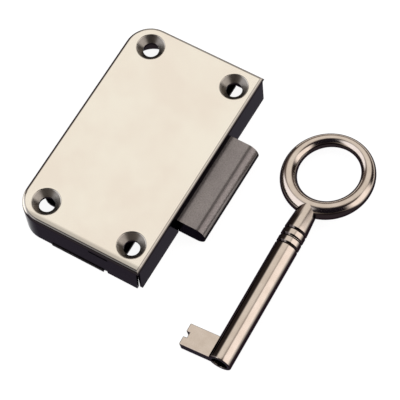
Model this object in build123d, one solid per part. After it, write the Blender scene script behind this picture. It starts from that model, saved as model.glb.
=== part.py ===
from build123d import *
import os
from math import asin, cos, hypot, pi, radians, sin, sqrt

# Surface furniture lock with two gated levers, lying door side down beside its barrel key.
# Millimetres. The origin is the middle of the case on the door face. X points out of the
# forend, the way the bolt is thrown, Y runs along the case and Z points away from the door.
# The bolt is drawn thrown and both levers are down.

# Driving sizes: how far the key stands from the forend, what its bit sweeps, and the throw
BACKSET = 25.0
BIT_SWEEP_R = 11.3
THROW = 8.0

# Case, pressed from one sheet. Its length and width follow from what it holds
CASE_DEPTH = 9.9
SHEET = 0.8
INNER_BEND_R = 0.2
BACK_CORNER_R = 7.0
SLIT_TOP = 0.6
SLIT_FOOT = 1.1
LANCE_LENGTH = 5.6
LANCE_HEIGHT = 0.8
LANCE_SETBACK = 9.0
LANCE_DROP = 1.4

# Screw holes with pressed countersinks
SCREW_SETBACK = 5.5
SCREW_BACK_EDGE = 6.7
SCREW_END_EDGE = 6.0
SCREW_HOLE_R = 2.1
SINK_R = 3.7
SINK_LIP_R = 0.4
COLLAR_DROP = 2.4

# Base plate
BASE_T = 0.9
BASE_RIM = 2.2
BASE_CORNER_R = 4.0
STRIP_WIDTH = 19.4
TAB_WIDTH = 15.3
TAB_PROUD = 0.25
EAR_WIDTH = 6.7
BASE_CLEAR = 0.2

# Bolt
BOLT_PAST_ARM = 2.2
BOLT_FOOT_Z = 0.25
NOSE_LENGTH = 2.8
HEAD_INSIDE = 6.0
HEAD_LIFT = 0.2
BOLT_TO_POST = 2.4
ARM_T = 1.2
TALON_ARM_Y = 8.0
TALON_ARM_NECK = 7.9
STUMP_WALL = 1.1
ARM_REACH = 3.3
GUIDE_WALL = 1.25

# Levers and their springs
PIVOT_SETBACK = 4.6
LEVER_T = 1.2
LEVER_GAP = 2.0
LEVER_SHIM_T = 0.85
LEVER_BOSS_R = 3.0
LEVER_NECK_TOP = 1.8
LEVER_RIM = 1.4
LEVER_OVER_ARM = 0.8
LEVER_END_R = 3.0
LIFT_DEG = 6.0
GATE_BAR = 1.2
STUMP_R = 1.1
STUMP_FROM_KEY = 0.4
STUMP_OVER_SWEEP = 5.1
PIVOT_OVER_STUMP = 2.6
STUMP_PROUD = 0.15
SPRING_T = 0.35
SPRING_FROM_PIVOT = 9.5
SPRING_SEAT = 1.2
SPRING_RISE = 0.5
SPRING_INSET = 0.1

# Turned posts and rings
POST_R = 1.5
TENON_R = 1.2
PIVOT_FOOT_R = 2.4
GUIDE_FOOT_R = 2.3
RING_R = 2.5
GUIDE_FROM_KEY = 4.4
WASHER_T = 0.75
RIVET_HEAD = 0.5

# Drill pin
DRILL_PIN_R = 2.0
DRILL_PIN_CHAMFER = 0.3
DRILL_PIN_FOOT_R = 2.6
DRILL_PIN_FOOT_T = 0.2
DRILL_PIN_END_Z = 0.4

# Key
SHANK_R = 3.15
SHANK_CHAMFER = 0.3
KEY_BORE_DEPTH = 12.0
BIT_T = 2.8
BIT_HEIGHT = 6.05
BIT_NOTCH_DEPTH = 1.0
BIT_SEAT = 0.65
BIT_CORNER = 0.3
BOW_R = 10.26
BOW_WIRE_R = 2.09
BOW_TAPER = 0.33
BOW_STEPS = 16
BOW_CENTRE = 57.6
GROOVE_FIRST = 35.0
GROOVE_PITCH = 2.2
GROOVE_COUNT = 3
GROOVE_HALF = 0.5
GROOVE_DEPTH = 0.45
NECK_END_R = 2.6
KEY_FROM_FOREND = 27.6
KEY_TIP_Y = -39.9
KEY_YAW_DEG = 1.24
KEY_ROLL_DEG = 7.5

# Clearances: a turning fit, a sliding fit, room for a moving edge, and room for a sweep
RUN = 0.05
SLIDE = 0.15
WORK = 0.3
NECK_CLEAR = 0.9
TAIL_CLEAR = 1.2

# Across the case, from its back to the forend
CASE_WIDTH = SHEET + 2 * RUN + BIT_SWEEP_R + BACKSET
FOREND_X = CASE_WIDTH / 2
BACK_X = -CASE_WIDTH / 2
FOREND_IN_X = FOREND_X - SHEET
KEY_X = FOREND_X - BACKSET
PIVOT_X = FOREND_X - PIVOT_SETBACK
STUMP_X = KEY_X + STUMP_FROM_KEY
ARM_END_X = STUMP_X - ARM_REACH
GUIDE_X = KEY_X + GUIDE_FROM_KEY
HEAD_REAR_X = FOREND_X - HEAD_INSIDE
LOW_HEAD_X = FOREND_X - 2 * RUN
BASE_EDGE_X = LOW_HEAD_X - THROW - 2 * RUN

# Along the case, from the key at its middle to the end wall
COLLAR_R = SCREW_HOLE_R + SHEET
STUMP_Y = BIT_SWEEP_R + STUMP_OVER_SWEEP
STUMP_ARM_Y = STUMP_Y + STUMP_R + STUMP_WALL
PIVOT_Y = STUMP_Y + PIVOT_OVER_STUMP
SCREW_Y = PIVOT_Y + LEVER_BOSS_R + 2 * WORK + COLLAR_R
END_Y = SCREW_Y + SCREW_END_EDGE
CASE_LENGTH = 2 * END_Y
END_IN_Y = END_Y - SHEET
BASE_HALF = PIVOT_Y + TENON_R + BASE_RIM
BOLT_Y1 = PIVOT_Y - PIVOT_FOOT_R - BOLT_TO_POST
SPRING_TOP_Y = END_IN_Y - (RUN + SPRING_T) / 2
SPRING_BEND_Y = PIVOT_Y + SPRING_RISE
SPRING_R = SPRING_TOP_Y - SPRING_BEND_Y

# Away from the door: the levers hang from the face of the case, with the bolt's arm between
FACE_IN_Z = CASE_DEPTH - SHEET
BEND_Z = FACE_IN_Z - INNER_BEND_R
LEVER_UPPER_Z = FACE_IN_Z - LEVER_SHIM_T - 2 * RUN - LEVER_T
LEVER_LOWER_Z = LEVER_UPPER_Z - LEVER_GAP - LEVER_T
LEVER_SEAT_Z = LEVER_LOWER_Z - RUN
ARM_Z = LEVER_UPPER_Z - (LEVER_GAP + ARM_T) / 2
ARM_TOP_Z = ARM_Z + ARM_T
BOLT_TOP_Z = ARM_TOP_Z + RUN
WASHER_Z = ARM_TOP_Z + 2 * RUN

# The bit is notched where the bolt's arms pass it, so there it sweeps less
KEY_TIP_Z = FACE_IN_Z - WORK
BIT_R = sqrt(BIT_SWEEP_R**2 - (BIT_T / 2) ** 2)
NOTCH_SWEEP_R = hypot(BIT_R - BIT_NOTCH_DEPTH, BIT_T / 2)
NOTCH_FROM_TIP = KEY_TIP_Z - ARM_TOP_Z - SLIDE
NOTCH_WIDTH = ARM_T + 2 * SLIDE
TALON_HALF = sqrt(NOTCH_SWEEP_R**2 - TALON_ARM_Y**2)
GUIDE_ARM_Y = -(NOTCH_SWEEP_R + WORK + 2 * RUN)
BOLT_Y0 = GUIDE_ARM_Y - BOLT_PAST_ARM
GUIDE_SLOT_HALF = POST_R + RUN
GUIDE_Y = GUIDE_ARM_Y - GUIDE_WALL - GUIDE_SLOT_HALF


def rect(x0, x1, y0, y1):
    """Flat rectangle between two X and two Y limits."""
    return Pos((x0 + x1) / 2, (y0 + y1) / 2) * Rectangle(x1 - x0, y1 - y0)


def slab(plan, z0, z1):
    """Piece with the given plan between two heights."""
    return extrude(Pos(0, 0, z0) * plan, amount=z1 - z0)


def turned(points, x=0.0, y=0.0):
    """Turned piece: (radius, height) points spun round an upright line at x, y."""
    outline = make_face(Polyline(*points, close=True))
    return Pos(x, y, 0) * revolve(Plane.XZ * outline, Axis.Z)


def ring(x, y, inner_r, outer_r, z0, z1):
    """Flat ring round an upright line."""
    return slab(Pos(x, y) * (Circle(outer_r) - Circle(inner_r)), z0, z1)


def case_block(inset, corner_r, bend_r, z0, z1):
    """Block with the case's outline, inset all round, its top edge rounded."""
    plan = rect(BACK_X + inset, FOREND_X - inset, inset - END_Y, END_Y - inset)
    block = slab(plan, z0, z1)
    block = fillet(block.edges().filter_by(Axis.Z).group_by(Axis.X)[0], corner_r)
    return fillet(block.faces().sort_by(Axis.Z)[-1].edges(), bend_r)


def screw_places():
    """Plan positions of the four screw holes."""
    rows = (FOREND_X - SCREW_SETBACK, BACK_X + SCREW_BACK_EDGE)
    return [(x, y) for x in rows for y in (-SCREW_Y, SCREW_Y)]


def case():
    """Pressed shell with its bolt mouth, screw dimples, tab notches and lanced slots."""
    shell = case_block(0, BACK_CORNER_R, SHEET + INNER_BEND_R, 0, CASE_DEPTH)
    shell -= case_block(SHEET, BACK_CORNER_R - SHEET, INNER_BEND_R, -1, FACE_IN_Z)

    # Each countersink is a 45 degree cone with a short collar, one sheet thick
    collar_z = CASE_DEPTH - COLLAR_DROP
    back_r = SINK_R - SHEET + SHEET * sqrt(2)
    knee_z = FACE_IN_Z - (back_r - COLLAR_R)
    back = [(0, collar_z), (COLLAR_R, collar_z), (COLLAR_R, knee_z), (back_r, FACE_IN_Z),
            (back_r, FACE_IN_Z + SHEET / 2), (0, FACE_IN_Z + SHEET / 2)]
    throat_z = CASE_DEPTH - (SINK_R - SCREW_HOLE_R)
    bore = [(0, 0), (SCREW_HOLE_R, 0), (SCREW_HOLE_R, throat_z),
            (SINK_R + 1, CASE_DEPTH + 1), (0, CASE_DEPTH + 1)]
    for x, y in screw_places():
        shell += turned(back, x, y)
        shell -= turned(bore, x, y)
    mouths = shell.edges().filter_by(GeomType.CIRCLE).group_by(Axis.Z)[-1]
    mouths = mouths.filter_by(lambda edge: edge.is_closed)
    shell = fillet(mouths, SINK_LIP_R)

    mouth = rect(FOREND_IN_X - 1, FOREND_X + 1, BOLT_Y0 - SLIDE, BOLT_Y1 + SLIDE)
    shell -= slab(mouth, -1, BOLT_TOP_Z + SLIDE)

    # The end walls stop short of the forend flange, by a slit that narrows upwards
    slope = (SLIT_FOOT - SLIT_TOP) / BEND_Z
    slit = make_face(Polyline(
        (FOREND_X + 1, -1), (FOREND_X - SLIT_FOOT - slope, -1),
        (FOREND_X - SLIT_TOP, BEND_Z), (FOREND_X + 1, BEND_Z), close=True))
    tab = rect(-TAB_WIDTH / 2 - SLIDE, TAB_WIDTH / 2 + SLIT_FOOT, END_IN_Y - 1, END_Y + 1)
    lance = rect(FOREND_X - LANCE_SETBACK - LANCE_LENGTH, FOREND_X - LANCE_SETBACK,
                 END_IN_Y - 1, END_Y + 1)
    lance_z = CASE_DEPTH - LANCE_DROP
    cuts = extrude(Plane.XZ.offset(-END_IN_Y) * slit, amount=-(SHEET + 1))
    cuts += slab(tab, -1, BASE_T + RUN)
    cuts += slab(lance, lance_z - LANCE_HEIGHT, lance_z)
    return shell - cuts - mirror(cuts, Plane.XZ)


def base_plate():
    """Flat plate on the door side, hooked into both end walls, with the keyhole."""
    back_x = BACK_X + SHEET + BASE_CLEAR
    body = rect(back_x, BASE_EDGE_X, -BASE_HALF, BASE_HALF)
    body = fillet(body.vertices().group_by(Axis.X)[0], BASE_CORNER_R)
    end_y = END_IN_Y - BASE_CLEAR
    plan = body + rect(BASE_EDGE_X - STRIP_WIDTH, BASE_EDGE_X, -end_y, end_y)
    tab_y = END_Y + TAB_PROUD
    plan += rect(-TAB_WIDTH / 2, TAB_WIDTH / 2, -tab_y, tab_y)

    # Two ears reach the forend beside the bolt, and one carries the lever post
    ear_x = FOREND_IN_X - BASE_CLEAR
    low = BOLT_Y0 - SLIDE - WORK
    high = BOLT_Y1 + SLIDE + WORK
    plan += rect(BASE_EDGE_X - 1, ear_x, low - EAR_WIDTH, low)
    plan += rect(BASE_EDGE_X - 1, ear_x, high, BASE_HALF)

    slot_half = BIT_T / 2 + WORK
    plan -= Pos(KEY_X, 0) * Circle(SHANK_R + WORK)
    plan -= rect(KEY_X - slot_half, KEY_X + slot_half, -(BIT_SWEEP_R + WORK), 0)
    plan -= Pos(PIVOT_X, PIVOT_Y) * Circle(TENON_R)
    plan -= Pos(GUIDE_X, GUIDE_Y) * Circle(TENON_R)
    return slab(plan, 0, BASE_T)


def drill_pin():
    """Round pin that the key's bore runs on, welded inside the face of the case."""
    return turned([(0, DRILL_PIN_END_Z), (DRILL_PIN_R - DRILL_PIN_CHAMFER, DRILL_PIN_END_Z),
                   (DRILL_PIN_R, DRILL_PIN_END_Z + DRILL_PIN_CHAMFER),
                   (DRILL_PIN_R, FACE_IN_Z - DRILL_PIN_FOOT_T),
                   (DRILL_PIN_FOOT_R, FACE_IN_Z - DRILL_PIN_FOOT_T),
                   (DRILL_PIN_FOOT_R, FACE_IN_Z), (0, FACE_IN_Z)], KEY_X, 0)


def bolt():
    """Cast bolt: a bull-nosed head with two thin arms that straddle the key."""
    nose_x = FOREND_X + THROW - NOSE_LENGTH
    mid_z = (BOLT_FOOT_Z + BOLT_TOP_Z) / 2
    ride_z = BASE_T + HEAD_LIFT
    sides = Polyline((nose_x, BOLT_TOP_Z), (HEAD_REAR_X, BOLT_TOP_Z), (HEAD_REAR_X, ride_z),
                     (LOW_HEAD_X, ride_z), (LOW_HEAD_X, BOLT_FOOT_Z), (nose_x, BOLT_FOOT_Z))
    nose = EllipticalCenterArc((nose_x, mid_z), NOSE_LENGTH, BOLT_TOP_Z - mid_z,
                               start_angle=-90, arc_size=180)
    side_plane = Plane.XZ.offset(-BOLT_Y1)
    head = extrude(side_plane * make_face(sides + nose), amount=BOLT_Y1 - BOLT_Y0)
    head -= slab(Pos(KEY_X + THROW, 0) * Circle(BIT_SWEEP_R + WORK), 0, CASE_DEPTH)

    # The talon arm carries the stump, and the other arm slides on the guide post
    step_x = PIVOT_X - RING_R - TAIL_CLEAR
    arms = rect(ARM_END_X, step_x, TALON_ARM_Y, STUMP_ARM_Y)
    arms += rect(step_x - 1, HEAD_REAR_X, TALON_ARM_Y, TALON_ARM_Y + TALON_ARM_NECK)
    arms += rect(ARM_END_X, HEAD_REAR_X, GUIDE_Y - GUIDE_SLOT_HALF - GUIDE_WALL, GUIDE_ARM_Y)
    arms -= rect(KEY_X + THROW - TALON_HALF, KEY_X + TALON_HALF,
                 TALON_ARM_Y - 1, NOTCH_SWEEP_R + WORK)
    arms -= Pos(STUMP_X, STUMP_Y) * Circle(STUMP_R)
    slot_length = THROW + 2 * (POST_R + SLIDE)
    arms -= Pos(GUIDE_X + THROW / 2, GUIDE_Y) * SlotOverall(slot_length, 2 * GUIDE_SLOT_HALF)
    return head + slab(arms, ARM_Z, ARM_TOP_Z)


def stump_pin():
    """Pin through the talon arm that passes the gates of both levers."""
    foot = LEVER_LOWER_Z - STUMP_PROUD
    top = LEVER_UPPER_Z + LEVER_T + STUMP_PROUD
    return slab(Pos(STUMP_X, STUMP_Y) * Circle(STUMP_R), foot, top)


def stump_path(travel):
    """Stump centre in the lever's own frame, when the bolt is drawn back by a travel."""
    lift = radians(LIFT_DEG) * travel / THROW
    x, y = STUMP_X - travel - PIVOT_X, STUMP_Y - PIVOT_Y
    return x * cos(lift) - y * sin(lift), x * sin(lift) + y * cos(lift)


def lever_plan():
    """Lever outline round its pivot: boss, neck, belly, two pockets, gate and spring slit."""
    neck_foot = BOLT_Y1 + NECK_CLEAR - PIVOT_Y
    tail_front = HEAD_REAR_X - THROW - TAIL_CLEAR - PIVOT_X
    start, middle, end = stump_path(0), stump_path(THROW / 2), stump_path(THROW)
    pocket_back = end[0] - STUMP_R - WORK
    pocket_top = start[1] + STUMP_R + WORK
    tail_foot = TALON_ARM_Y + LEVER_OVER_ARM - PIVOT_Y
    tail = rect(pocket_back - LEVER_RIM, tail_front, tail_foot, pocket_top + LEVER_RIM)
    tail = fillet(tail.vertices().group_by(Axis.X)[0], LEVER_END_R)
    neck_back = -SPRING_FROM_PIVOT - LEVER_BOSS_R
    plan = tail + rect(neck_back, 0, neck_foot, LEVER_NECK_TOP) + Circle(LEVER_BOSS_R)

    # The belly fits the sweep of the bit when the levers are lifted half way
    half_lift = radians(LIFT_DEG / 2)
    key_x, key_y = KEY_X - PIVOT_X, -PIVOT_Y
    belly = (key_x * cos(half_lift) - key_y * sin(half_lift),
             key_x * sin(half_lift) + key_y * cos(half_lift))
    plan -= Pos(*belly) * Circle(BIT_SWEEP_R)

    gate_half = STUMP_R + 2 * WORK
    pocket_foot = end[1] - STUMP_R - WORK
    plan -= rect(middle[0] + GATE_BAR / 2, start[0] + STUMP_R + WORK, pocket_foot, pocket_top)
    plan -= rect(pocket_back, middle[0] - GATE_BAR / 2, pocket_foot, pocket_top)
    plan -= rect(pocket_back, start[0], middle[1] - gate_half, middle[1] + gate_half)
    plan -= Circle(POST_R + RUN)

    slit_x = -SPRING_FROM_PIVOT
    plan -= rect(slit_x - SPRING_T / 2 - SLIDE, slit_x + SPRING_T / 2 + RUN,
                 -SPRING_SEAT - RUN, LEVER_NECK_TOP + 1)
    return Pos(PIVOT_X, PIVOT_Y) * plan


def spring_plan():
    """Leaf spring: a foot in the lever's slit and a quarter turn up to the end wall."""
    foot_x = PIVOT_X - SPRING_FROM_PIVOT
    bend = Circle(SPRING_R + SPRING_T / 2) - Circle(SPRING_R - SPRING_T / 2)
    reach = SPRING_R + SPRING_T
    bend = Pos(foot_x - SPRING_R, SPRING_BEND_Y) * (bend & rect(0, reach, 0, reach))
    return bend + rect(foot_x - SPRING_T / 2, foot_x + SPRING_T / 2,
                       PIVOT_Y - SPRING_SEAT, SPRING_BEND_Y)


def lever(z):
    """One flat lever at a height."""
    return slab(lever_plan(), z, z + LEVER_T)


def lever_spring(z):
    """The leaf spring of the lever at a height, a little narrower than the lever."""
    return slab(spring_plan(), z + SPRING_INSET, z + LEVER_T - SPRING_INSET)


def pivot_post():
    """Shouldered post that both levers turn on, riveted into the base plate."""
    return turned([(0, 0), (TENON_R, 0), (TENON_R, BASE_T), (PIVOT_FOOT_R, BASE_T),
                   (PIVOT_FOOT_R, LEVER_SEAT_Z), (POST_R, LEVER_SEAT_Z),
                   (POST_R, FACE_IN_Z - RUN), (0, FACE_IN_Z - RUN)], PIVOT_X, PIVOT_Y)


def guide_post():
    """Shouldered post for the bolt's slot, its end riveted over the washer."""
    foot_z = ARM_Z - RUN
    washer_top = WASHER_Z + WASHER_T
    return turned([(0, 0), (TENON_R, 0), (TENON_R, BASE_T), (GUIDE_FOOT_R, BASE_T),
                   (GUIDE_FOOT_R, foot_z), (POST_R, foot_z), (POST_R, WASHER_Z),
                   (TENON_R, WASHER_Z), (TENON_R, washer_top), (POST_R, washer_top),
                   (TENON_R, washer_top + RIVET_HEAD), (0, washer_top + RIVET_HEAD)],
                  GUIDE_X, GUIDE_Y)


def guide_washer():
    """Washer that keeps the bolt's arm down on the guide post."""
    return ring(GUIDE_X, GUIDE_Y, TENON_R + RUN, RING_R, WASHER_Z, WASHER_Z + WASHER_T)


def lever_spacer():
    """Ring that keeps the levers apart, where the bolt's arm passes between them."""
    z = LEVER_LOWER_Z + LEVER_T + RUN
    return ring(PIVOT_X, PIVOT_Y, POST_R + RUN, RING_R, z, LEVER_UPPER_Z - RUN)


def lever_shim():
    """Ring between the upper lever and the face of the case."""
    z = LEVER_UPPER_Z + LEVER_T + RUN
    return ring(PIVOT_X, PIVOT_Y, POST_R + RUN, RING_R, z, FACE_IN_Z - RUN)


# The key is drawn along its own X axis, its tip at the origin and its bit along Y
def key_wire_ring():
    """The round wire ring of the bow, forged thicker towards the neck."""
    hoops = []
    for step in range(BOW_STEPS + 1):
        turn = pi * step / BOW_STEPS
        middle = (BOW_CENTRE + BOW_R * cos(turn), BOW_R * sin(turn), 0)
        across = Plane(middle, (cos(turn), sin(turn), 0), (-sin(turn), cos(turn), 0))
        hoops.append(across * Circle(BOW_WIRE_R - BOW_TAPER * cos(turn)))
    half = loft(hoops, ruled=True)
    return half + mirror(half, Plane.XZ)


def key_shank():
    """Bored shank with turned grooves, its tapered neck fitted over the wire of the bow."""
    side = [(0, 0), (0, SHANK_R - SHANK_CHAMFER), (SHANK_CHAMFER, SHANK_R)]
    for groove in range(GROOVE_COUNT):
        middle = GROOVE_FIRST + groove * GROOVE_PITCH
        side += [(middle - GROOVE_HALF, SHANK_R), (middle, SHANK_R - GROOVE_DEPTH),
                 (middle + GROOVE_HALF, SHANK_R)]
    wire_x = BOW_CENTRE - BOW_R
    side += [(wire_x, NECK_END_R), (wire_x + BOW_WIRE_R / 2, 0)]
    shank = revolve(make_face(Polyline(*side, close=True)), Axis.X)
    bore = Circle(DRILL_PIN_R + SLIDE)
    shank -= extrude(Plane.YZ * bore, amount=KEY_BORE_DEPTH)
    shank -= Pos(BIT_HEIGHT / 2, SHANK_R, 0) * Box(BIT_HEIGHT, 2 * BIT_SEAT, BIT_T)
    return shank - key_wire_ring()


def key_bit():
    """Flat bit, notched for the bolt's arm and seated in the shank."""
    plan = rect(0, BIT_HEIGHT, SHANK_R - BIT_SEAT, BIT_R)
    plan = fillet(plan.vertices().group_by(Axis.Y)[-1], BIT_CORNER)
    plan -= rect(NOTCH_FROM_TIP, NOTCH_FROM_TIP + NOTCH_WIDTH, BIT_R - BIT_NOTCH_DEPTH, BIT_R + 1)
    return slab(plan, -BIT_T / 2, BIT_T / 2)


def beside_the_lock(piece):
    """Lay a key piece beside the lock, rolled so that its tip and one side of its ring rest."""
    bow_z = BOW_WIRE_R + hypot(BOW_R * sin(radians(KEY_ROLL_DEG)), BOW_TAPER)
    tilt = asin((SHANK_R - bow_z) / BOW_CENTRE)
    yaw = radians(KEY_YAW_DEG)
    along = (-sin(yaw) * cos(tilt), cos(yaw) * cos(tilt), -sin(tilt))
    up = (-sin(yaw) * sin(tilt), cos(yaw) * sin(tilt), cos(tilt))
    tip = (FOREND_X + KEY_FROM_FOREND, KEY_TIP_Y, SHANK_R)
    return Plane(tip, along, up).location * Rot(-KEY_ROLL_DEG, 0, 0) * piece


PIECES = {
    "case": case(),
    "base_plate": base_plate(),
    "drill_pin": drill_pin(),
    "pivot_post": pivot_post(),
    "guide_post": guide_post(),
    "guide_washer": guide_washer(),
    "lever_spacer": lever_spacer(),
    "lever_shim": lever_shim(),
    "bolt": bolt(),
    "stump_pin": stump_pin(),
    "lever_lower": lever(LEVER_LOWER_Z),
    "lever_upper": lever(LEVER_UPPER_Z),
    "spring_lower": lever_spring(LEVER_LOWER_Z),
    "spring_upper": lever_spring(LEVER_UPPER_Z),
    "key_shank": beside_the_lock(key_shank()),
    "key_bow": beside_the_lock(key_wire_ring()),
    "key_bit": beside_the_lock(key_bit()),
}

os.makedirs("parts", exist_ok=True)
for name, piece in PIECES.items():
    export_step(piece, f"parts/{name}.step")
    print(name, round(piece.volume, 1), len(piece.solids()))
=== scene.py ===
"""Looks of a nickel-plated furniture lock and its barrel key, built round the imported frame.

The frame holds every piece at its real place, in metres, with the middle of the case on the
door face as the origin. X points out of the forend, Y runs along the case and Z away from the
door, so here the lock lies on its door side with its key beside it. Lengths in this file are
in millimetres and colours are sRGB hex codes.
"""

import logging
from dataclasses import dataclass, field
from enum import Enum
from math import asin, cos, hypot, pi, radians, sin, tau
from typing import Any, Sequence

import bmesh
import bpy
from mathutils import Matrix, Vector

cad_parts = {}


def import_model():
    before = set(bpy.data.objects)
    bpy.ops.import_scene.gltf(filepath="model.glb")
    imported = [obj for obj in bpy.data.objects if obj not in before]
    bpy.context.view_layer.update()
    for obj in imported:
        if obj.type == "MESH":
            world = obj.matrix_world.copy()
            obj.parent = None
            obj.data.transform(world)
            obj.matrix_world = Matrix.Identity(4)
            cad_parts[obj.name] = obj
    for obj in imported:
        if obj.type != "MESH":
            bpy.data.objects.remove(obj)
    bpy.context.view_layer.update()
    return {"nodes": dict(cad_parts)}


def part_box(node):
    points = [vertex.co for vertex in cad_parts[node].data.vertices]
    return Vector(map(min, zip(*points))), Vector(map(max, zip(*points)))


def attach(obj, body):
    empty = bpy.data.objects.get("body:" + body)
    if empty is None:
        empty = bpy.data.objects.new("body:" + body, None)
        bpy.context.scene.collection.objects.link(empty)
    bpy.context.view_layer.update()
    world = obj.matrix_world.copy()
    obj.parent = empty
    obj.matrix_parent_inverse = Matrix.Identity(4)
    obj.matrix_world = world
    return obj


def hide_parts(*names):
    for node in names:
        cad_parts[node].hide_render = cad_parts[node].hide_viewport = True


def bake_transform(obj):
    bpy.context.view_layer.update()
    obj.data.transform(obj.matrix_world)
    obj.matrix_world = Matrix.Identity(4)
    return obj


LOG = logging.getLogger("furniture_lock")
MM = 0.001
Vec3 = tuple[float, float, float]
Span = tuple[float, float]


class Body(str, Enum):
    """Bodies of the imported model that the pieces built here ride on."""

    CASE = "case"
    UPPER_LEVER = "upper_lever"
    LOWER_LEVER = "lower_lever"
    KEY = "key"


class Slot(str, Enum):
    """Material slots of the record."""

    NICKEL_CASE = "nickel_case"
    PLATED_STEEL = "plated_steel"
    ZINC_CAST = "zinc_cast"
    TURNED_STEEL = "turned_steel"
    LEVER_STEEL = "lever_steel"
    SPRING_STEEL = "spring_steel"
    NICKEL_KEY = "nickel_key"


def linear(code: str) -> tuple[float, float, float, float]:
    """Turn an sRGB hex colour into Blender's linear colour.

    Args:
        code: Six hex digits, with or without a hash.

    Returns:
        Red, green, blue and an alpha of 1.
    """
    digits = code.lstrip("#")
    shares = [int(digits[at:at + 2], 16) / 255 for at in (0, 2, 4)]
    values = [s / 12.92 if s <= 0.04045 else ((s + 0.055) / 1.055) ** 2.4 for s in shares]
    return values[0], values[1], values[2], 1.0


def add_node(tree: bpy.types.NodeTree, kind: str, settings: dict[str, Any] | None = None,
             values: dict[Any, Any] | None = None,
             links: dict[Any, bpy.types.NodeSocket] | None = None) -> bpy.types.Node:
    """Add one node with its settings, values and incoming links.

    Args:
        tree: Node tree that gets the node.
        kind: Blender's type name of the node.
        settings: Properties to set on the node itself.
        values: Default values by input name or number.
        links: Sockets to link into inputs, by input name or number.

    Returns:
        The new node.
    """
    node = tree.nodes.new(kind)
    for name, value in (settings or {}).items():
        setattr(node, name, value)
    for name, value in (values or {}).items():
        node.inputs[name].default_value = value
    for name, socket in (links or {}).items():
        tree.links.new(socket, node.inputs[name])
    return node


def maths(tree: bpy.types.NodeTree, operation: str,
          *parts: bpy.types.NodeSocket | float) -> bpy.types.NodeSocket:
    """One step of a formula in a shader or a geometry tree.

    Args:
        tree: Node tree that gets the node.
        operation: Blender's name of the operation.
        parts: Its operands, each a socket or a number.

    Returns:
        The result.
    """
    numbers = {at: part for at, part in enumerate(parts) if isinstance(part, (int, float))}
    sockets = {at: part for at, part in enumerate(parts) if at not in numbers}
    return add_node(tree, "ShaderNodeMath", {"operation": operation}, numbers,
                    sockets).outputs[0]


def product(tree: bpy.types.NodeTree, *shares: bpy.types.NodeSocket) -> bpy.types.NodeSocket:
    """Product of several shares.

    Args:
        tree: Node tree that gets the nodes.
        shares: The shares, at least one.

    Returns:
        Their product.
    """
    whole = shares[0]
    for share in shares[1:]:
        whole = maths(tree, "MULTIPLY", whole, share)
    return whole


def ranged(tree: bpy.types.NodeTree, socket: bpy.types.NodeSocket, between: Span,
           onto: Span = (0.0, 1.0), kind: str = "LINEAR") -> bpy.types.NodeSocket:
    """Map a value from between two limits onto two others, and hold it there beyond them.

    Args:
        tree: Node tree that gets the node.
        socket: The value.
        between: Its limits; the first may be the higher one.
        onto: What the limits become.
        kind: LINEAR or SMOOTHSTEP.

    Returns:
        The mapped value.
    """
    return add_node(tree, "ShaderNodeMapRange", {"interpolation_type": kind},
                    {1: between[0], 2: between[1], 3: onto[0], 4: onto[1]},
                    {0: socket}).outputs[0]


def smooth(tree: bpy.types.NodeTree, socket: bpy.types.NodeSocket, between: Span,
           onto: Span = (0.0, 1.0)) -> bpy.types.NodeSocket:
    """Map a value like ranged(), with a soft start and end."""
    return ranged(tree, socket, between, onto, "SMOOTHSTEP")


def towards(tree: bpy.types.NodeTree, direction: bpy.types.NodeSocket,
            aim: Vec3) -> bpy.types.NodeSocket:
    """Cosine between a direction and a fixed one.

    Args:
        tree: Node tree that gets the node.
        direction: A ray or a normal.
        aim: The fixed direction.

    Returns:
        The cosine.
    """
    return add_node(tree, "ShaderNodeVectorMath", {"operation": "DOT_PRODUCT"},
                    {1: aim}, {0: direction}).outputs["Value"]


def component(tree: bpy.types.NodeTree, vector: bpy.types.NodeSocket,
              axis: str) -> bpy.types.NodeSocket:
    """One component, X, Y or Z, of a vector."""
    return add_node(tree, "ShaderNodeSeparateXYZ", links={0: vector}).outputs[axis]


def coordinate(tree: bpy.types.NodeTree, kind: str) -> bpy.types.NodeSocket:
    """Object or Generated coordinates, or the surface's Normal in the object's frame."""
    return add_node(tree, "ShaderNodeTexCoord").outputs[kind]


def mixed(tree: bpy.types.NodeTree, share: bpy.types.NodeSocket,
          none: bpy.types.NodeSocket | str,
          full: bpy.types.NodeSocket | str) -> bpy.types.NodeSocket:
    """Mix two colours.

    Args:
        tree: Node tree that gets the node.
        share: Share of the second colour.
        none: Colour at a share of 0, a socket or a hex code.
        full: Colour at a share of 1, a socket or a hex code.

    Returns:
        The mixed colour.
    """
    colours = {6: none, 7: full}
    codes = {at: linear(part) for at, part in colours.items() if isinstance(part, str)}
    sockets = {at: part for at, part in colours.items() if at not in codes}
    return add_node(tree, "ShaderNodeMix", {"data_type": "RGBA"}, codes,
                    {0: share, **sockets}).outputs[2]


def noise(tree: bpy.types.NodeTree, place: bpy.types.NodeSocket, size: float, detail: float,
          roughness: float = 0.5) -> bpy.types.NodeSocket:
    """Noise with patches of a real size.

    Args:
        tree: Node tree that gets the node.
        place: Object coordinates.
        size: Size of the patches in mm.
        detail: Number of finer layers.
        roughness: Strength of the finer layers.

    Returns:
        The noise, from 0 to 1.
    """
    return add_node(tree, "ShaderNodeTexNoise", values={
        "Scale": 1 / (size * MM), "Detail": detail, "Roughness": roughness},
        links={"Vector": place}).outputs["Fac"]


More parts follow.
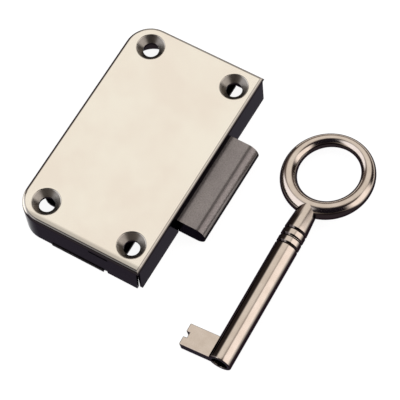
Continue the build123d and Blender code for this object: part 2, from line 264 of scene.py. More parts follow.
@dataclass(frozen=True)
class Light:
    """Soft studio light: a round panel, a round card low on the left and a wide card right.

    Between them the room stays dark: brown behind the lock, darker in its right corner and
    nearly black on the near side. That leaves the thin dark lines along every bend of the
    polished metal. A low card on the near side lights the lock's face where it is seen from
    behind.

    The spans give the cosines to a light's middle, or the components of a ray, between which
    its share rises. Where the first is the higher one, it falls.
    """

    panel: str = "#d2d0ce"
    panel_at: Vec3 = (-0.217, 0.551, 0.806)
    panel_edge: Span = (0.79, 0.94)
    left: str = "#f3f5fe"
    left_at: Vec3 = (-0.780, -0.395, 0.485)
    left_edge: Span = (0.755, 0.899)
    left_back: Span = (0.24, 0.06)
    right: str = "#f6f1f1"
    right_at: Vec3 = (0.970, 0.242, 0.0)
    right_edge: Span = (0.66, 0.92)
    right_top: Span = (0.935, 0.845)
    right_back: Span = (0.66, 0.42)
    low: str = "#9a938e"
    low_foot: Span = (0.04, 0.14)
    low_top: Span = (0.50, 0.38)
    low_back: Span = (-0.05, -0.25)
    corner: str = "#231d1c"
    corner_side: Span = (0.15, 0.50)
    room: str = "#574d4a"
    room_front: Span = (-0.15, 0.15)
    near_side: str = "#131017"
    strength: float = 1.45

    def build(self) -> None:
        """Make the world from the dark room, the cards and the panel."""
        world = bpy.data.worlds.new("soft_studio")
        bpy.context.scene.world = world
        world.use_nodes = True
        tree = world.node_tree
        tree.nodes.clear()
        ray = coordinate(tree, "Generated")
        sky = add_node(tree, "ShaderNodeRGB").outputs[0]
        sky.default_value = linear(self.near_side)
        for share, code in self._layers(tree, ray):
            sky = mixed(tree, share, sky, code)
        shine = add_node(tree, "ShaderNodeBackground", values={1: self.strength},
                         links={0: sky})
        add_node(tree, "ShaderNodeOutputWorld", links={0: shine.outputs[0]})

    def _layers(self, tree: bpy.types.NodeTree, ray: bpy.types.NodeSocket
                ) -> list[tuple[bpy.types.NodeSocket, str]]:
        """What lies over the dark near side of the room.

        Args:
            tree: The world's node tree.
            ray: Direction of the ray.

        Returns:
            The share and the colour of each layer, from the lowest to the topmost.
        """
        across, along, up = (component(tree, ray, axis) for axis in "XYZ")
        level = add_node(tree, "ShaderNodeVectorMath", {"operation": "MULTIPLY"},
                         {1: (1, 1, 0)}, {0: ray}).outputs[0]
        compass = add_node(tree, "ShaderNodeVectorMath", {"operation": "NORMALIZE"},
                           links={0: level}).outputs[0]
        behind = smooth(tree, along, self.room_front)
        corner = product(tree, behind, smooth(tree, across, self.corner_side))
        low = product(tree, smooth(tree, up, self.low_foot), smooth(tree, up, self.low_top),
                      smooth(tree, along, self.low_back))
        right = product(tree, smooth(tree, towards(tree, compass, self.right_at),
                                     self.right_edge),
                        smooth(tree, up, self.right_top), smooth(tree, along, self.right_back))
        left = product(tree, smooth(tree, towards(tree, ray, self.left_at), self.left_edge),
                       smooth(tree, along, self.left_back))
        panel = smooth(tree, towards(tree, ray, self.panel_at), self.panel_edge)
        return [(behind, self.room), (corner, self.corner), (low, self.low),
                (right, self.right), (left, self.left), (panel, self.panel)]


@dataclass(frozen=True)
class Studio:
    """Camera, pale floor with a low upturned edge, and the light."""

    light: Light = field(default_factory=Light)
    camera_at: Vec3 = (151.7, -177.3, 445.1)
    camera_right: Vec3 = (0.861621, 0.504050, -0.059519)
    camera_up: Vec3 = (-0.431160, 0.788760, 0.438131)
    camera_back: Vec3 = (0.267786, -0.351841, 0.896939)
    focal_pixels: float = 1944.8
    image_pixels: float = 400.0
    sensor: float = 36.0
    clip: Span = (10.0, 20000.0)
    floor_radius: float = 2500.0
    floor_sides: int = 96
    floor_drop: float = 0.05
    edge_height: float = 280.0
    paper_plain: str = "#c8c7c5"
    paper_seen: str = "#8f8e8d"
    paper_glow: str = "#ffffff"
    glow: float = 0.93

    def build(self) -> None:
        """Make the light, the camera and the floor."""
        self.light.build()
        self._camera()
        self._floor()
        bpy.context.scene.view_settings.view_transform = "Standard"

    def _camera(self) -> None:
        """Camera at the photograph's place, aim and focal length."""
        data = bpy.data.cameras.new("camera")
        data.sensor_width = self.sensor
        data.lens = self.focal_pixels / self.image_pixels * self.sensor
        data.clip_start, data.clip_end = (limit * MM for limit in self.clip)
        camera = bpy.data.objects.new("camera", data)
        bpy.context.scene.collection.objects.link(camera)
        turn = Matrix((self.camera_right, self.camera_up, self.camera_back)).transposed()
        camera.matrix_world = (Matrix.Translation(Vector(self.camera_at) * MM)
                               @ turn.to_4x4())
        bpy.context.scene.camera = camera

    def _floor(self) -> None:
        """Round pale floor whose edge turns up, so that low views meet no dark horizon."""
        mesh = bpy.data.meshes.new("floor")
        work = bmesh.new()
        disc = bmesh.ops.create_circle(work, cap_ends=True, segments=self.floor_sides,
                                       radius=self.floor_radius * MM)
        bmesh.ops.translate(work, verts=disc["verts"], vec=(0, 0, -self.floor_drop * MM))
        rim = [edge for edge in work.edges if edge.is_boundary]
        made = bmesh.ops.extrude_edge_only(work, edges=rim)["geom"]
        top = [part for part in made if isinstance(part, bmesh.types.BMVert)]
        bmesh.ops.translate(work, verts=top, vec=(0, 0, self.edge_height * MM))
        work.to_mesh(mesh)
        work.free()
        mesh.materials.append(self._paper())
        floor = bpy.data.objects.new("floor", mesh)
        bpy.context.scene.collection.objects.link(floor)

    def _paper(self) -> bpy.types.Material:
        """Matt paper roll: white where it is seen or mirrored, plain paper to other light.

        Returns:
            The floor's material.
        """
        paper = bpy.data.materials.new("matt_paper_roll")
        paper.use_nodes = True
        tree = paper.node_tree
        tree.nodes.clear()
        path = add_node(tree, "ShaderNodeLightPath").outputs
        seen = maths(tree, "MAXIMUM", path["Is Camera Ray"], path["Is Glossy Ray"])
        seen = maths(tree, "MAXIMUM", seen, path["Is Transmission Ray"])
        plain = add_node(tree, "ShaderNodeBsdfDiffuse", values={0: linear(self.paper_plain)})
        weak = add_node(tree, "ShaderNodeBsdfDiffuse", values={0: linear(self.paper_seen)})
        glow = add_node(tree, "ShaderNodeEmission",
                        values={0: linear(self.paper_glow), 1: self.glow})
        bright = add_node(tree, "ShaderNodeAddShader",
                          links={0: weak.outputs[0], 1: glow.outputs[0]})
        both = add_node(tree, "ShaderNodeMixShader",
                        links={0: seen, 1: plain.outputs[0], 2: bright.outputs[0]})
        add_node(tree, "ShaderNodeOutputMaterial", links={0: both.outputs[0]})
        return paper


@dataclass(frozen=True)
class PaintedShade:
    """Painted shade: a dark colour painted on faces that lean away from one direction.

    It stands in for shade and the dark room mirrored in the metal there. It follows the
    surface's own direction in the object's frame, so it stays where it is from every side.

    Attributes:
        lean: The direction, about the top of the piece.
        begins: Cosine to it at which the painted shade begins to lift.
        full: Cosine to it at which the painted shade is gone.
    """

    lean: Vec3 = (0.18, -0.18, 0.967)
    begins: float = 0.70
    full: float = 0.80

    def share(self, tree: bpy.types.NodeTree) -> bpy.types.NodeSocket:
        """Share of clear colour, from 0 under full painted shade to 1."""
        facing = towards(tree, coordinate(tree, "Normal"), self.lean)
        return smooth(tree, facing, (self.begins, self.full))


@dataclass(frozen=True)
class SidePaintedShade(PaintedShade):
    """Painted shade on the faces of a piece that turn to one side, none where they turn away
    from it.
    """

    lean: Vec3 = (0.5, -0.866, 0.0)
    begins: float = 0.74
    full: float = 0.60


@dataclass(frozen=True)
class ShankPaintedShade(PaintedShade):
    """Painted shade along one side of the key's shank and on the flanks of its grooves, none on
    the ring.

    Attributes:
        least: Clear share left in the middle of the painted shade.
        flank: Steepness along the shank at which shade is painted on a groove's flank.
        flank_least: Clear share left on the flanks of the grooves.
        grooves: Where the part with grooves begins, in mm along Y.
        end: Where the painted shade fades out before the ring, in mm along Y.
    """

    lean: Vec3 = (0.63, -0.18, 0.754)
    begins: float = 0.54
    full: float = 0.65
    least: float = 0.15
    flank: Span = (0.25, 0.45)
    flank_least: float = 0.35
    grooves: Span = (-10.0, -9.0)
    end: Span = (2.0, 6.0)

    def share(self, tree: bpy.types.NodeTree) -> bpy.types.NodeSocket:
        """Share of clear colour against painted shade, which is full from the neck on.

        Args:
            tree: The material's node tree.

        Returns:
            The share, from 0 under full painted shade to 1.
        """
        along = component(tree, coordinate(tree, "Object"), "Y")
        beyond = smooth(tree, along, (self.end[0] * MM, self.end[1] * MM))
        grooved = ranged(tree, along, (self.grooves[0] * MM, self.grooves[1] * MM))
        lengthwise = component(tree, coordinate(tree, "Normal"), "Y")
        steep = maths(tree, "ABSOLUTE", product(tree, lengthwise, grooved))
        flank = smooth(tree, steep, self.flank, (1.0, self.flank_least))
        side = ranged(tree, super().share(tree), (0.0, 1.0), (self.least, 1.0))
        return maths(tree, "MAXIMUM", product(tree, side, flank), beyond)


@dataclass(frozen=True)
class Finish:
    """A metal finish with a clear tone and a painted shade, a soft mottle and a fine grain.

    Attributes:
        name: Name of the material.
        clear: Colour of the clear metal.
        mottle: Its colour in the middle of a patch.
        shade: Colour of the painted shade where it is full.
        roughness: Roughness halfway through the grain.
        mottle_mm: Size of the patches.
        grain_mm: Size of the grain.
        grain: How far the grain raises and lowers the roughness.
        speckle: How far the grain lightens and darkens the colour.
        painted_shade: Painted shade on faces that lean away.
        more_painted_shades: More painted shades.
        metallic: How metallic the clear metal is; under the painted shade it is fully so.
        bends: Grey levels of the clear share by how far a face points upward, which paint shade
            where the surface turns down.
        edge_in_shade: Tint at grazing angles under the painted shade.
        edge_clear: Tint at grazing angles on clear metal.
        patches: Noise values between which the mottle and the speckle change.
        grains: Noise values between which the roughness changes.
    """

    name: str
    clear: str
    mottle: str
    shade: str
    roughness: float
    mottle_mm: float = 9.0
    grain_mm: float = 0.5
    grain: float = 0.03
    speckle: float = 0.0
    painted_shade: PaintedShade = field(default_factory=PaintedShade)
    more_painted_shades: tuple[PaintedShade, ...] = ()
    metallic: float = 1.0
    bends: tuple[tuple[float, str], ...] = ()
    edge_in_shade: str = "#adadb0"
    edge_clear: str = "#bcbcbc"
    patches: Span = (0.35, 0.65)
    grains: Span = (0.3, 0.7)

    def material(self) -> bpy.types.Material:
        """Build the node material of this finish.

        Returns:
            The new material.
        """
        made = bpy.data.materials.new(self.name)
        made.use_nodes = True
        tree = made.node_tree
        tree.nodes.clear()
        place = coordinate(tree, "Object")
        cloud = noise(tree, place, self.mottle_mm, detail=4.0, roughness=0.55)
        speck = noise(tree, place, self.grain_mm, detail=2.0)
        tone = mixed(tree, ranged(tree, cloud, self.patches), self.clear, self.mottle)
        if self.speckle:
            pits = ranged(tree, speck, self.patches, (1 - self.speckle, 1 + self.speckle))
            tone = add_node(tree, "ShaderNodeVectorMath", {"operation": "SCALE"},
                            links={0: tone, "Scale": pits}).outputs[0]
        clear, haze = self.cover(tree, place)
        rough = ranged(tree, speck, self.grains,
                       (self.roughness - self.grain, self.roughness + self.grain))
        # Base colour: the clear tone, turning to the painted shade colour as the clear share
        # falls
        surface = add_node(tree, "ShaderNodeBsdfPrincipled", values={"Metallic": 1.0}, links={
            "Base Color": mixed(tree, clear, self.shade, tone),
            "Specular Tint": mixed(tree, clear, self.edge_in_shade, self.edge_clear),
            "Roughness": maths(tree, "ADD", rough, haze) if haze else rough})
        if self.metallic < 1:
            bare = ranged(tree, clear, (0.0, 1.0), (1.0, self.metallic))
            tree.links.new(bare, surface.inputs["Metallic"])
        add_node(tree, "ShaderNodeOutputMaterial", links={0: surface.outputs[0]})
        return made

    def cover(self, tree: bpy.types.NodeTree, place: bpy.types.NodeSocket
              ) -> tuple[bpy.types.NodeSocket, bpy.types.NodeSocket | None]:
        """Share of clear metal; the rest gets the painted shade.

        Args:
            tree: The material's node tree.
            place: Object coordinates; not used here.

        Returns:
            The share of clear metal against painted shade, and roughness to add or None.
        """
        shares = [painted_layer.share(tree) for painted_layer in (self.painted_shade, *self.more_painted_shades)]
        if self.bends:
            shares.append(self.turned(tree))
        return product(tree, *shares), None

    def turned(self, tree: bpy.types.NodeTree) -> bpy.types.NodeSocket:
        """Share of clear metal by how far the surface has turned down from the top; the rest is
        painted shade.

        Args:
            tree: The material's node tree.

        Returns:
            The share, from 0 to 1.
        """
        polish = add_node(tree, "ShaderNodeValToRGB",
                          links={0: component(tree, coordinate(tree, "Normal"), "Z")})
        stops = polish.color_ramp.elements
        while len(stops) < len(self.bends):
            stops.new(0.5)
        for stop, (height, code) in zip(stops, self.bends):
            stop.position = height
            stop.color = linear(code)
        return polish.outputs[0]


@dataclass(frozen=True)
class PressedNickel(Finish):
    """Polished nickel on pressed sheet: painted shade round the bends, painted shade and haze in
    the countersinks.

    Attributes:
        sinks: Middles of the countersinks in mm.
        sink_r: Their radius.
        sink_lip: Width of the lip over which their painted shade and haze set in.
        sink_clear: Share of clear metal in them; the rest is painted shade.
        sink_haze: Roughness added in them.
        sink_painted_shade: Painted shade on their walls.
        rim: Where shade is painted at the near end, for the sheet rolling over there, in mm from
            the middle along Y.
        rim_least: Share of clear metal left there under the painted shade.
        painted_corner_highlight: Faces on the bend of the near left corner where the painted
            shade is lifted, a painted highlight.
    """

    sinks: tuple[Span, ...] = ()
    sink_r: float = 3.9
    sink_lip: float = 0.3
    sink_clear: float = 0.62
    sink_haze: float = 0.16
    sink_painted_shade: PaintedShade = PaintedShade((-0.05, 0.12, 0.991), 0.45, 0.85)
    rim: Span = (29.2, 30.1)
    rim_least: float = 0.58
    painted_corner_highlight: PaintedShade = PaintedShade((-0.55, -0.40, 0.73), 0.92, 0.97)
    # Painted shade round the bends: a darker line just off the flat, a slightly lighter band,
    # then dark down the sides
    bends: tuple[tuple[float, str], ...] = (
        (0.50, "#000000"), (0.62, "#505050"), (0.75, "#8c8c8c"), (0.88, "#c4c4c4"),
        (0.945, "#b4b4b4"), (0.975, "#c8c8c8"), (0.996, "#ffffff"))

    def cover(self, tree: bpy.types.NodeTree, place: bpy.types.NodeSocket
              ) -> tuple[bpy.types.NodeSocket, bpy.types.NodeSocket | None]:
        """Share of clear metal, with the shade painted round the bends and in the countersinks.

        Args:
            tree: The material's node tree.
            place: Object coordinates.

        Returns:
            The share of clear metal against painted shade, and the haze to add to the roughness.
        """
        # Painted shade round the bends, on faces leaning away and at the near end; on the near
        # left corner's bend it is lifted as a painted highlight
        face = product(tree, self.turned(tree), self.painted_shade.share(tree), self._rim_shade(tree, place))
        face = maths(tree, "MAXIMUM", face, self.painted_corner_highlight.share(tree))
        inside = self._inside(tree, place)
        hollow = maths(tree, "MULTIPLY", self.sink_painted_shade.share(tree), self.sink_clear)
        clear = add_node(tree, "ShaderNodeMix", {"data_type": "FLOAT"},
                         links={0: inside, 2: face, 3: hollow}).outputs[0]
        return clear, maths(tree, "MULTIPLY", inside, self.sink_haze)

    def _rim_shade(self, tree: bpy.types.NodeTree,
             place: bpy.types.NodeSocket) -> bpy.types.NodeSocket:
        """Share of clear metal, lowered by painted shade where the sheet starts to roll over at
        the near end.
        """
        return smooth(tree, component(tree, place, "Y"), (-self.rim[1] * MM, -self.rim[0] * MM),
                      (self.rim_least, 1.0))

    def _inside(self, tree: bpy.types.NodeTree,
                place: bpy.types.NodeSocket) -> bpy.types.NodeSocket:
        """Where the countersinks are.

        Args:
            tree: The material's node tree.
            place: Object coordinates.

        Returns:
            1 inside the countersinks and 0 on the face.
        """
        level = add_node(tree, "ShaderNodeVectorMath", {"operation": "MULTIPLY"},
                         {1: (1, 1, 0)}, {0: place}).outputs[0]
        aways = [add_node(tree, "ShaderNodeVectorMath", {"operation": "DISTANCE"},
                          {1: (x * MM, y * MM, 0)}, {0: level}).outputs["Value"]
                 for x, y in self.sinks]
        near = aways[0]
        for away in aways[1:]:
            near = maths(tree, "MINIMUM", near, away)
        return ranged(tree, near, (self.sink_r * MM, (self.sink_r - self.sink_lip) * MM))


# Polished nickel over pressed steel: mirror-smooth and warm, with shade painted where it turns
# down and on faces leaning away
CASE_NICKEL = PressedNickel(
    "polished_nickel_case", "#f8f1e2", "#f4eadb", "#2e292b", 0.14, mottle_mm=12.0,
    painted_shade=PaintedShade((0.25, 0.05, 0.967), 0.70, 0.80),
    sinks=((13.1, 25.5), (13.1, -25.5), (-11.9, 25.5), (-11.9, -25.5)))
# Polished nickel over turned and bent steel: greyer and rosier, with shade painted on faces
# leaning away, on the near side and down one side of the shank
KEY_NICKEL = Finish(
    "polished_nickel_key", "#dbcdbf", "#d1c2b3", "#2a2224", 0.13, mottle_mm=3.0,
    painted_shade=PaintedShade((0.10, -0.20, 0.975), 0.52, 0.78), more_painted_shades=(SidePaintedShade(), ShankPaintedShade()))
# Galvanised steel plate: dull brown-grey, barely mirroring; shade is painted on faces that lean
# away
PLATE_STEEL = Finish("galvanised_steel_plate", "#6d665f", "#5c5550", "#3e3a3c", 0.38)
# Die-cast zinc as it came from the mould: matt grey, finely speckled, shiny along the nose, with
# shade painted on faces that lean away and a painted darker band where the nose begins
CAST_ZINC = Finish(
    "cast_zinc_bolt", "#9b938f", "#928a87", "#1e1a19", 0.20, mottle_mm=4.0,
    grain_mm=0.3, grain=0.05, speckle=0.22, metallic=0.5,
    painted_shade=PaintedShade((0.35, -0.15, 0.925), 0.50, 0.80),
    bends=((0.76, "#ffffff"), (0.86, "#f4f4f4"), (0.91, "#d4d4d4"),
           (0.955, "#b4b4b4"), (0.99, "#b0b0b0"), (0.9995, "#ffffff")))
# Bright turned steel of the posts, pins and rings: clean grey with a satin shine; shade is
# painted on faces that lean away
TURNED_STEEL = Finish("turned_bright_steel", "#a9a49e", "#9c968f", "#3a3636", 0.3)
# Blanked lever steel: darker and duller grey, as it left the press; shade is painted on faces
# that lean away
LEVER_STEEL = Finish("blanked_lever_steel", "#8d8a88", "#7f7b78", "#3a3636", 0.35)
# Blued spring steel: dark slate blue with a satin shine; shade is painted on faces that lean
# away
SPRING_STEEL = Finish("blued_spring_steel", "#4d5059", "#43464f", "#2a2a30", 0.3)

NODE_FINISHES = {
    Slot.NICKEL_CASE: (CASE_NICKEL, ("case",)),
    Slot.PLATED_STEEL: (PLATE_STEEL, ("base_plate",)),
    Slot.ZINC_CAST: (CAST_ZINC, ("bolt",)),
    Slot.TURNED_STEEL: (TURNED_STEEL, ("drill_pin", "pivot_post", "guide_post", "guide_washer",
                                       "lever_spacer", "lever_shim", "stump_pin")),
    Slot.LEVER_STEEL: (LEVER_STEEL, ("lever_lower", "lever_upper")),
    Slot.SPRING_STEEL: (SPRING_STEEL, ("spring_lower", "spring_upper")),
    Slot.NICKEL_KEY: (KEY_NICKEL, ("key_shank", "key_bow", "key_bit")),
}


def lathe(work: bmesh.types.BMesh, rings: Sequence[Vec3], place: Matrix, count: int) -> None:
    """Skin a closed turned body over rings along the X axis.

    Args:
        work: Mesh under work.
        rings: Place along X and half widths along Y and Z in mm; a width of 0 ends the body.
        place: Where the body's own frame lies, in metres.
        count: Vertices round each ring.
    """
    loops = []
    for along, side, rise in rings:
        steps = range(count) if max(side, rise) > 0 else range(1)
        loops.append([work.verts.new(place @ (Vector((
            along, side * cos(tau * step / count), rise * sin(tau * step / count))) * MM))
            for step in steps])
    for one, two in zip(loops, loops[1:]):
        for step in range(count):
            ahead = (step + 1) % count
            corners = [one[step % len(one)], one[ahead % len(one)],
                       two[ahead % len(two)], two[step % len(two)]]
            work.faces.new(list(dict.fromkeys(corners)))


def finished(name: str, work: bmesh.types.BMesh, material: bpy.types.Material,
             crease_deg: float = 35.0, flat_mm2: float = 1e6) -> bpy.types.Object:
    """Turn a mesh under work into a smooth-shaded object that keeps its real creases.

    Args:
        name: Name of the object.
        work: Mesh under work, freed here.
        material: Its material.
        crease_deg: Edges that turn by more than this stay sharp.
        flat_mm2: Faces from this area on are shaded flat.

    Returns:
        The linked object.
    """
    bmesh.ops.recalc_face_normals(work, faces=work.faces)
    for face in work.faces:
        face.smooth = face.calc_area() < flat_mm2 * MM * MM
    for edge in work.edges:
        if len(edge.link_faces) == 2 and edge.calc_face_angle() > radians(crease_deg):
            edge.smooth = False
    mesh = bpy.data.meshes.new(name)
    work.to_mesh(mesh)
    work.free()
    mesh.materials.append(material)
    made = bpy.data.objects.new(name, mesh)
    bpy.context.scene.collection.objects.link(made)
    return made


def grown(name: str, tree: bpy.types.NodeTree, values: dict[str, Any]) -> bpy.types.Object:
    """Evaluate a Geometry Nodes tree once and keep its result as a plain mesh.

    Args:
        name: Name of the object.
        tree: Geometry node tree.
        values: Values of the tree's named inputs.

    Returns:
        The linked object, without any modifier.
    """
    made = bpy.data.objects.new(name, bpy.data.meshes.new(name))
    bpy.context.scene.collection.objects.link(made)
    modifier = made.modifiers.new(name, "NODES")
    modifier.node_group = tree
    for item in tree.interface.items_tree:
        if item.item_type == "SOCKET" and item.in_out == "INPUT" and item.name in values:
            modifier[item.identifier] = values[item.name]
    bpy.context.view_layer.update()
    graph = bpy.context.evaluated_depsgraph_get()
    mesh = bpy.data.meshes.new_from_object(made.evaluated_get(graph))
    made.modifiers.remove(modifier)
    made.data = mesh
    return made


def geometry_tree(name: str, inputs: dict[str, str]) -> tuple[bpy.types.NodeTree, Any]:
    """Start a geometry node tree with named inputs.

    Args:
        name: Name of the tree.
        inputs: Socket type by input name.

    Returns:
        The tree and the outputs of its input node.
    """
    tree = bpy.data.node_groups.new(name, "GeometryNodeTree")
    for label, kind in inputs.items():
        tree.interface.new_socket(label, in_out="INPUT", socket_type=kind)
    tree.interface.new_socket("Geometry", in_out="OUTPUT", socket_type="NodeSocketGeometry")
    return tree, add_node(tree, "NodeGroupInput").outputs


def close_tree(tree: bpy.types.NodeTree, shape: bpy.types.NodeSocket,
               material: bpy.types.NodeSocket) -> None:
    """End a geometry node tree: make its shape real, give it its material and put it out.

    Args:
        tree: Geometry node tree.
        shape: The finished shape.
        material: Its material.
    """
    real = add_node(tree, "GeometryNodeRealizeInstances", links={0: shape}).outputs[0]
    dressed = add_node(tree, "GeometryNodeSetMaterial", links={
        "Geometry": real, "Material": material}).outputs[0]
    add_node(tree, "NodeGroupOutput", links={0: dressed})


@dataclass(frozen=True)
class BarrelKey:
    """The loose key: a bored and turned shank, a ring forged with it and a notched bit.

    Its own frame has the tip at the origin, X along the shank and Y towards the bit. It lies
    rolled a little to the bit's side, resting on its tip and on one side of its ring.
    """

    tip: Vec3 = (46.2, -39.9, 3.15)
    yaw_deg: float = 1.24
    roll_deg: float = 7.5
    shank_r: float = 3.15
    shank_sides: int = 96
    tip_round: float = 0.25
    round_steps: int = 6
    bore_r: float = 2.15
    bore_depth: float = 12.0
    plain_to: int = 33
    grooved_from: float = 34.05
    groove_step: float = 0.06
    groove_first: float = 35.0
    groove_pitch: float = 2.2
    groove_count: int = 3
    groove_half: float = 0.42
    groove_depth: float = 0.30
    neck_side_r: float = 2.6
    neck_steps: int = 14
    neck_curve: float = 1.3
    root_ends: Span = (0.6, 0.9)
    root_share: float = 0.7
    bow_centre: float = 57.6
    bow_r: float = 10.26
    bow_steps: int = 256
    wire_r: float = 2.075
    wire_taper: float = 0.33
    wire_sides: int = 64
    bit_height: float = 6.05
    bit_reach: float = 11.213
    bit_root: float = 0.6
    bit_t: float = 2.8
    bit_bevel: float = 0.16
    bevel_steps: int = 3
    bit_flat_mm2: float = 0.6
    notch_at: Span = (2.25, 3.75)
    notch_depth: float = 1.0

    def place(self) -> Matrix:
        """Where the key's own frame lies beside the lock.

        Returns:
            The frame's place, in metres.
        """
        roll, yaw = radians(self.roll_deg), radians(self.yaw_deg)
        bow_z = self.wire_r + hypot(self.bow_r * sin(roll), self.wire_taper)
        rise = asin((bow_z - self.tip[2]) / self.bow_centre)
        return (Matrix.Translation(Vector(self.tip) * MM) @ Matrix.Rotation(pi / 2 + yaw, 4, "Z")
                @ Matrix.Rotation(-rise, 4, "Y") @ Matrix.Rotation(-roll, 4, "X"))

    def groove(self, along: float) -> float:
        """Depth of the turned grooves at a place along the shank."""
        nearest = min(abs(along - self.groove_first - self.groove_pitch * turn)
                      for turn in range(self.groove_count))
        return self.groove_depth * max(0.0, 1 - nearest / self.groove_half)

    def shank(self, material: bpy.types.Material) -> bpy.types.Object:
        """Bored shank with rounded tip, three grooves and a neck that flattens to the ring.

        Args:
            material: The key's finish.

        Returns:
            The linked object.
        """
        quarter = [radians(90 * step / self.round_steps) for step in range(self.round_steps + 1)]
        r, lip = self.shank_r, self.tip_round
        rings = [(self.bore_depth, 0.0, 0.0), (self.bore_depth, self.bore_r, self.bore_r)]
        rings += [(lip / 2 * (1 - sin(turn)), *[self.bore_r + lip / 2 * (1 - cos(turn))] * 2)
                  for turn in quarter]
        rings += [(lip * (1 - cos(turn)), *[r - lip * (1 - sin(turn))] * 2) for turn in quarter]
        rings += [(float(along), r, r) for along in range(1, self.plain_to + 1)]
        neck = self.groove_first + (self.groove_count - 1) * self.groove_pitch + self.groove_half
        for step in range(round((neck - self.grooved_from) / self.groove_step) + 1):
            along = self.grooved_from + self.groove_step * step
            rings.append((along, *[r - self.groove(along)] * 2))
        wire_x = self.bow_centre - self.bow_r
        top = self.wire_r + self.wire_taper
        for step in range(1, self.neck_steps + 1):
            share = step / self.neck_steps
            rings.append((neck + (wire_x - neck) * share, r + (self.neck_side_r - r) * share,
                          r + (top - r) * share ** self.neck_curve))
        shoulder, end = self.root_ends
        rings += [(wire_x + shoulder, self.neck_side_r * self.root_share, top * self.root_share),
                  (wire_x + end, 0.0, 0.0)]
        work = bmesh.new()
        lathe(work, rings, self.place(), self.shank_sides)
        return finished("key_shank_turned", work, material)

    def ring(self, material: bpy.types.Material) -> bpy.types.Object:
        """Round ring whose section grows towards the neck, swept by Geometry Nodes.

        Args:
            material: The key's finish.

        Returns:
            The linked object.
        """
        tree, inlet = geometry_tree("forged_ring", {
            "Radius": "NodeSocketFloat", "Wire": "NodeSocketFloat", "Taper": "NodeSocketFloat",
            "Place": "NodeSocketVector", "Turn": "NodeSocketRotation",
            "Finish": "NodeSocketMaterial"})
        path = add_node(tree, "GeometryNodeCurvePrimitiveCircle",
                        values={"Resolution": self.bow_steps},
                        links={"Radius": inlet["Radius"]}).outputs["Curve"]
        where = add_node(tree, "GeometryNodeInputPosition").outputs[0]
        turn = maths(tree, "DIVIDE", component(tree, where, "X"), inlet["Radius"])
        loss = maths(tree, "MULTIPLY", turn, inlet["Taper"])
        wire = maths(tree, "SUBTRACT", inlet["Wire"], loss)
        section = add_node(tree, "GeometryNodeCurvePrimitiveCircle", values={
            "Resolution": self.wire_sides, "Radius": 1.0}).outputs["Curve"]
        skin = add_node(tree, "GeometryNodeCurveToMesh", links={
            "Curve": path, "Profile Curve": section, "Scale": wire})
        moved = add_node(tree, "GeometryNodeTransform", links={
            "Geometry": skin.outputs[0], "Translation": inlet["Place"],
            "Rotation": inlet["Turn"]}).outputs[0]
        soft = add_node(tree, "GeometryNodeSetShadeSmooth", links={0: moved}).outputs[0]
        close_tree(tree, soft, inlet["Finish"])
        place = self.place() @ Matrix.Translation((self.bow_centre * MM, 0, 0))
        return grown("key_bow_forged", tree, {
            "Radius": self.bow_r * MM, "Wire": self.wire_r * MM,
            "Taper": self.wire_taper * MM, "Place": place.to_translation(),
            "Turn": place.to_euler(), "Finish": material})

    def bit(self, material: bpy.types.Material) -> bpy.types.Object:
        """Flat notched bit with lightly broken edges, its root inside the shank.

        Args:
            material: The key's finish.

        Returns:
            The linked object.
        """
        low, high = self.notch_at
        root, deep = self.shank_r - self.bit_root, self.bit_reach - self.notch_depth
        plan = [(0.0, root), (self.bit_height, root), (self.bit_height, self.bit_reach),
                (high, self.bit_reach), (high, deep), (low, deep), (low, self.bit_reach),
                (0.0, self.bit_reach)]
        work = bmesh.new()
        face = work.faces.new([work.verts.new(Vector((*spot, -self.bit_t / 2)) * MM)
                               for spot in plan])
        raised = bmesh.ops.extrude_face_region(work, geom=[face])["geom"]
        bmesh.ops.translate(work, vec=(0, 0, self.bit_t * MM), verts=[
            part for part in raised if isinstance(part, bmesh.types.BMVert)])
        bmesh.ops.bevel(work, geom=list(work.edges), offset=self.bit_bevel * MM,
                        segments=self.bevel_steps, profile=0.5, affect="EDGES",
                        harden_normals=False)
        bmesh.ops.transform(work, matrix=self.place(), verts=work.verts)
        return finished("key_bit_filed", work, material, flat_mm2=self.bit_flat_mm2)

    def build(self, material: bpy.types.Material) -> None:
        """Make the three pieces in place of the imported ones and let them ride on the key.

        Args:
            material: The key's finish.
        """
        for made, node in ((self.shank(material), "key_shank"), (self.ring(material), "key_bow"),
                           (self.bit(material), "key_bit")):
            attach(made, Body.KEY.value)
            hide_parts(node)
            LOG.info("built %s in place of %s", made.name, node)


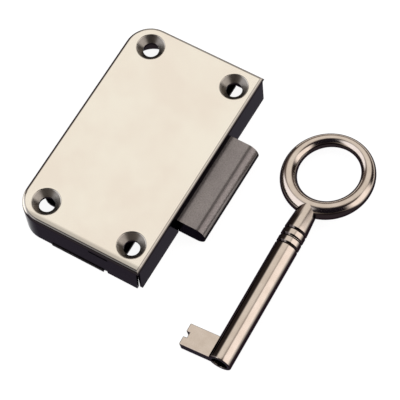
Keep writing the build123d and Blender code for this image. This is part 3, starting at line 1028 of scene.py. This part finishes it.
@dataclass(frozen=True)
class LeverSprings:
    """Two leaf springs: a straight foot in the lever's slit and a quarter turn to the wall.
    """

    thickness: float = 0.35
    points: int = 64

    def tree(self) -> bpy.types.NodeTree:
        """Geometry Nodes that lay a strip along the foot and the quarter turn.

        Returns:
            The tree, with the strip's measures as inputs.
        """
        tree, inlet = geometry_tree("leaf_spring", {
            "Foot": "NodeSocketVector", "Straight": "NodeSocketFloat",
            "Radius": "NodeSocketFloat", "Thickness": "NodeSocketFloat",
            "Width": "NodeSocketFloat", "Finish": "NodeSocketMaterial"})
        straight, radius = inlet["Straight"], inlet["Radius"]
        whole = maths(tree, "ADD", straight, maths(tree, "MULTIPLY", radius, pi / 2))
        tip = add_node(tree, "ShaderNodeCombineXYZ", links={"Y": whole}).outputs[0]
        line = add_node(tree, "GeometryNodeCurvePrimitiveLine", links={"End": tip}).outputs[0]
        line = add_node(tree, "GeometryNodeResampleCurve", values={"Count": self.points},
                        links={"Curve": line}).outputs[0]
        where = add_node(tree, "GeometryNodeInputPosition").outputs[0]
        run = component(tree, where, "Y")
        bent = maths(tree, "MAXIMUM", maths(tree, "SUBTRACT", run, straight), 0)
        turn = maths(tree, "DIVIDE", bent, radius)
        back = maths(tree, "MULTIPLY", radius,
                     maths(tree, "SUBTRACT", maths(tree, "COSINE", turn), 1))
        up = maths(tree, "ADD", maths(tree, "MINIMUM", run, straight),
                   maths(tree, "MULTIPLY", maths(tree, "SINE", turn), radius))
        spot = add_node(tree, "ShaderNodeCombineXYZ", links={"X": back, "Y": up}).outputs[0]
        spot = add_node(tree, "ShaderNodeVectorMath", {"operation": "ADD"},
                        links={0: spot, 1: inlet["Foot"]}).outputs[0]
        path = add_node(tree, "GeometryNodeSetPosition",
                        links={"Geometry": line, "Position": spot}).outputs[0]
        path = add_node(tree, "GeometryNodeSetCurveNormal", {"mode": "Z_UP"},
                        links={"Curve": path}).outputs[0]
        section = add_node(tree, "GeometryNodeCurvePrimitiveQuadrilateral", links={
            "Width": inlet["Thickness"], "Height": inlet["Width"]}).outputs[0]
        strip = add_node(tree, "GeometryNodeCurveToMesh", values={"Fill Caps": True},
                         links={"Curve": path, "Profile Curve": section}).outputs[0]
        close_tree(tree, strip, inlet["Finish"])
        return tree

    def build(self, material: bpy.types.Material) -> None:
        """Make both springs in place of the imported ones.

        Args:
            material: The springs' finish.
        """
        tree = self.tree()
        half = self.thickness / 2 * MM
        for node, lever in (("spring_lower", Body.LOWER_LEVER),
                            ("spring_upper", Body.UPPER_LEVER)):
            low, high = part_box(node)
            radius = high.x - half - low.x
            foot = Vector((high.x - half, low.y, (low.z + high.z) / 2))
            made = grown(f"{node}_strip", tree, {
                "Foot": foot, "Straight": high.y - half - radius - low.y, "Radius": radius,
                "Thickness": self.thickness * MM, "Width": high.z - low.z, "Finish": material})
            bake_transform(made)
            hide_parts(node)
            LOG.info("built %s in place of %s", made.name, node)


def dress_nodes(nodes: dict[str, bpy.types.Object]) -> dict[Slot, bpy.types.Material]:
    """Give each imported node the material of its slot.

    Args:
        nodes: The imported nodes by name.

    Returns:
        The material of each slot.
    """
    materials = {}
    for slot, (finish, names) in NODE_FINISHES.items():
        materials[slot] = finish.material()
        for name in names:
            mesh = nodes[name].data
            mesh.materials.clear()
            mesh.materials.append(materials[slot])
            LOG.info("dressed %s as %s", name, finish.name)
    return materials


def main() -> None:
    """Load the frame, dress it and set up the studio."""
    logging.basicConfig(level=logging.INFO, format="%(name)s: %(message)s")
    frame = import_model()
    materials = dress_nodes(frame["nodes"])
    BarrelKey().build(materials[Slot.NICKEL_KEY])
    LeverSprings().build(materials[Slot.SPRING_STEEL])
    Studio().build()


if __name__ == "__main__":
    main()
